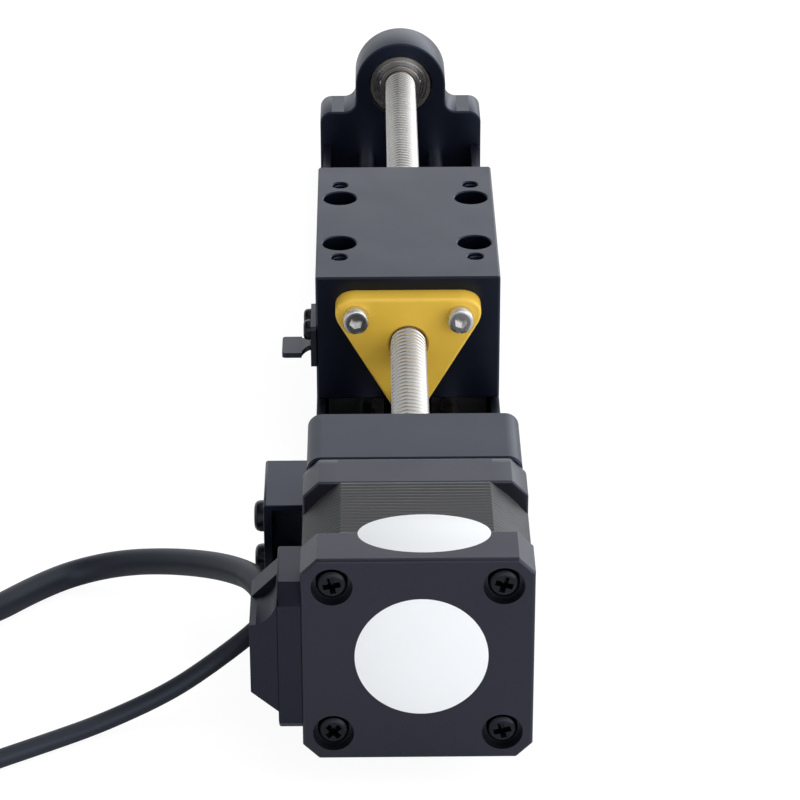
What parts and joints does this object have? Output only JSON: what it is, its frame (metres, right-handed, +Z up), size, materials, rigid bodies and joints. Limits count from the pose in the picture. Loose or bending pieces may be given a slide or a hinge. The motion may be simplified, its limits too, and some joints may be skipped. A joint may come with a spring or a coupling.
{
  "type": "stepper linear actuator",
  "caption": "Stepper motor linear actuator: a lead screw drives a drilled carriage along a slim rail between a motor mount and a bearing block, with a home sensor and loose cables.",
  "frame": {"origin": "centre of the base rail's underside, on the plane that the actuator is bolted to", "axes": "+X across the rail, +Y along the screw from the motor to the end block, +Z up out of the carriage's top"},
  "size_m": [0.1802, 0.312, 0.0481],
  "materials": {
    "black_anodised": "satin black anodised",
    "motor_paint": "satin black paint",
    "laminations": "matte black varnish over rolled sheet",
    "ground_steel": "ground",
    "bearing_steel": "ground and polished",
    "black_oxide_steel": "black oxide",
    "stainless_steel": "turned",
    "zinc_steel": "zinc plated",
    "nut_polymer": "moulded amber polymer",
    "shoe_polymer": "moulded, low friction",
    "black_plastic": "moulded, fine grain",
    "copper_winding": "enamelled copper wire",
    "rotor_iron": "stamped laminations",
    "magnet": "sintered magnet",
    "cable_jacket": "smooth black jacket",
    "connector_white": "natural nylon"
  },
  "bodies": {
    "base": {"base_rail": "black_anodised", "guide_shafts": "ground_steel", "motor_mount": "black_anodised", "mount_screws": "black_oxide_steel", "foot_screws": "black_oxide_steel", "motor_front_cap": "motor_paint", "stator_stack": "laminations", "stator_windings": "copper_winding", "motor_rear_cap": "motor_paint", "motor_screws": "black_oxide_steel", "motor_front_bearing_outer": "bearing_steel", "motor_rear_bearing_outer": "bearing_steel", "end_block": "black_anodised", "end_bearing_outer": "bearing_steel", "end_bearing_shields": "zinc_steel", "lead_cover": "black_plastic", "sensor_bracket": "motor_paint", "bracket_screws": "black_oxide_steel", "home_sensor": "black_plastic", "sensor_screws": "black_oxide_steel", "motor_cable": "cable_jacket", "motor_cable_coil": "cable_jacket", "motor_plug": "connector_white", "sensor_cable": "cable_jacket", "sensor_cable_coil": "cable_jacket", "sensor_plug": "connector_white"},
    "screw": {"lead_screw": "ground_steel", "rotor_cups": "rotor_iron", "rotor_magnet": "magnet", "motor_front_bearing_inner": "bearing_steel", "motor_rear_bearing_inner": "bearing_steel", "end_bearing_inner": "bearing_steel", "end_bearing_balls": "bearing_steel"},
    "carriage": {"carriage": "black_anodised", "guide_shoes": "shoe_polymer", "shoe_screws": "black_oxide_steel", "flange_nut": "nut_polymer", "nut_screws": "stainless_steel", "sensor_flag": "motor_paint", "flag_screws": "black_oxide_steel"}
  },
  "joints": [
    {"name": "carriage_travel", "type": "slide", "parent": "base", "child": "carriage", "axis": [0, 1, 0], "range_m": [-0.067, 0.083]},
    {"name": "screw_spin", "type": "hinge", "parent": "base", "child": "screw", "pos_m": [0, 0, 0.027], "axis": [0, 1, 0], "range_deg": [-18676, 15076]}
  ],
  "couplings": [
    {"joint": "screw_spin", "follows": "carriage_travel", "rad_per_m": -3927}
  ]
}
